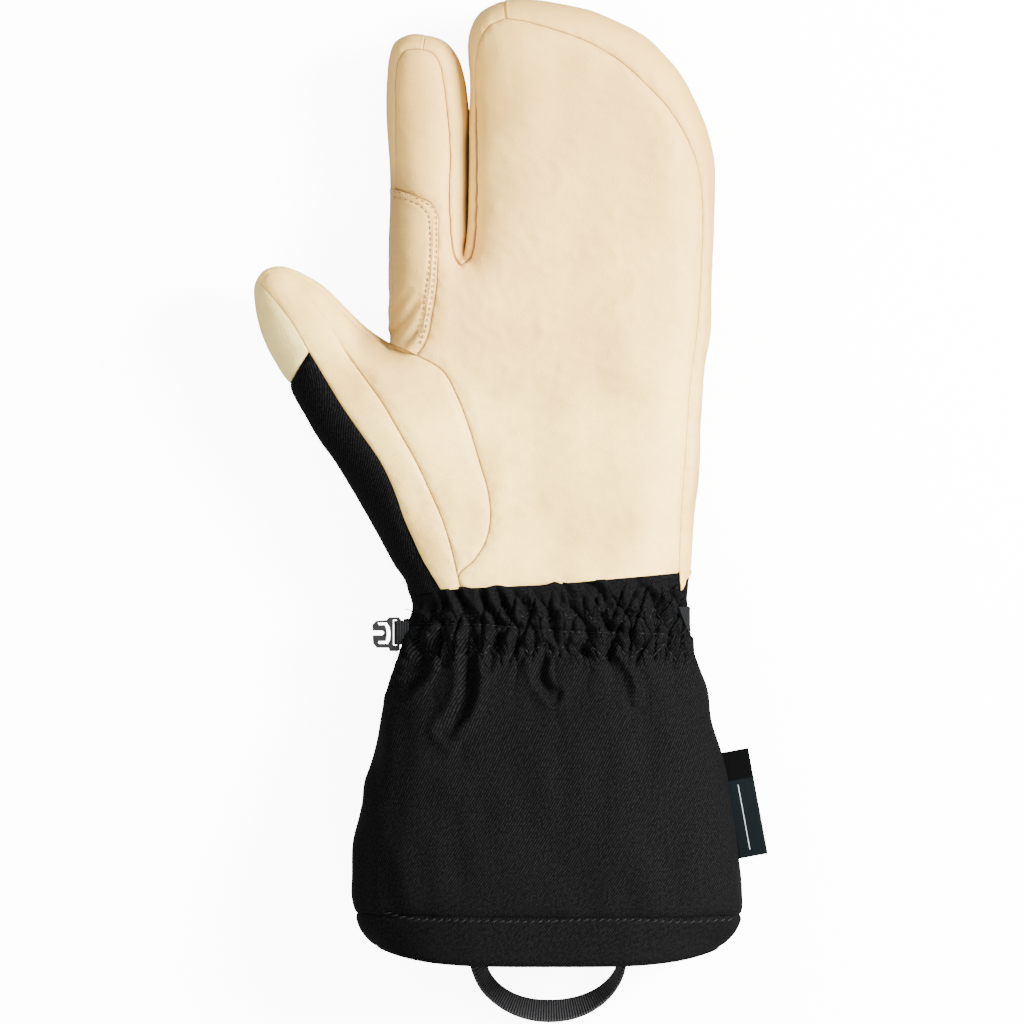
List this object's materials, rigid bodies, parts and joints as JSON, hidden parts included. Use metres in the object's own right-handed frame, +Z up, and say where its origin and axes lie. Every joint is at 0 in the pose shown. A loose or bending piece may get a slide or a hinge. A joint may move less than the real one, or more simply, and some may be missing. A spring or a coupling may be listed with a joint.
{
  "type": "lobster claw mitt",
  "caption": "Three-finger winter mitt with a leather palm, a split index finger, a thumb, a gathered wrist and a long flared fabric cuff with a hanging loop.",
  "frame": {"origin": "on the surface that the mitt lies on, under the middle of its outline", "axes": "+Z up, out of the palm; +Y from the cuff to the fingertips; +X from the thumb side to the outer side"},
  "size_m": [0.1794, 0.3582, 0.059],
  "materials": {
    "tan_leather": "soft smooth grain, pale tan",
    "cap_leather": "smooth grain, greener tan",
    "black_fabric": "matt twill weave",
    "webbing": "ribbed webbing",
    "clip_plastic": "satin moulded plastic",
    "label_fabric": "fine woven tag"
  },
  "bodies": {
    "root": {"palm_panel": "tan_leather", "outer_gusset": "tan_leather", "fourchette": "tan_leather", "index_gusset": "tan_leather", "index_patch": "tan_leather", "thumb_palm": "tan_leather", "thumb_strip": "tan_leather", "thumb_gusset": "tan_leather", "thumb_cap": "cap_leather", "thumb_back": "black_fabric", "back_panel": "black_fabric", "gauntlet": "black_fabric", "hem_band": "black_fabric", "hem_loop": "webbing", "wrist_strap": "webbing", "wrist_clip": "clip_plastic", "clip_tab": "webbing", "side_label": "label_fabric"}
  },
  "joints": []
}
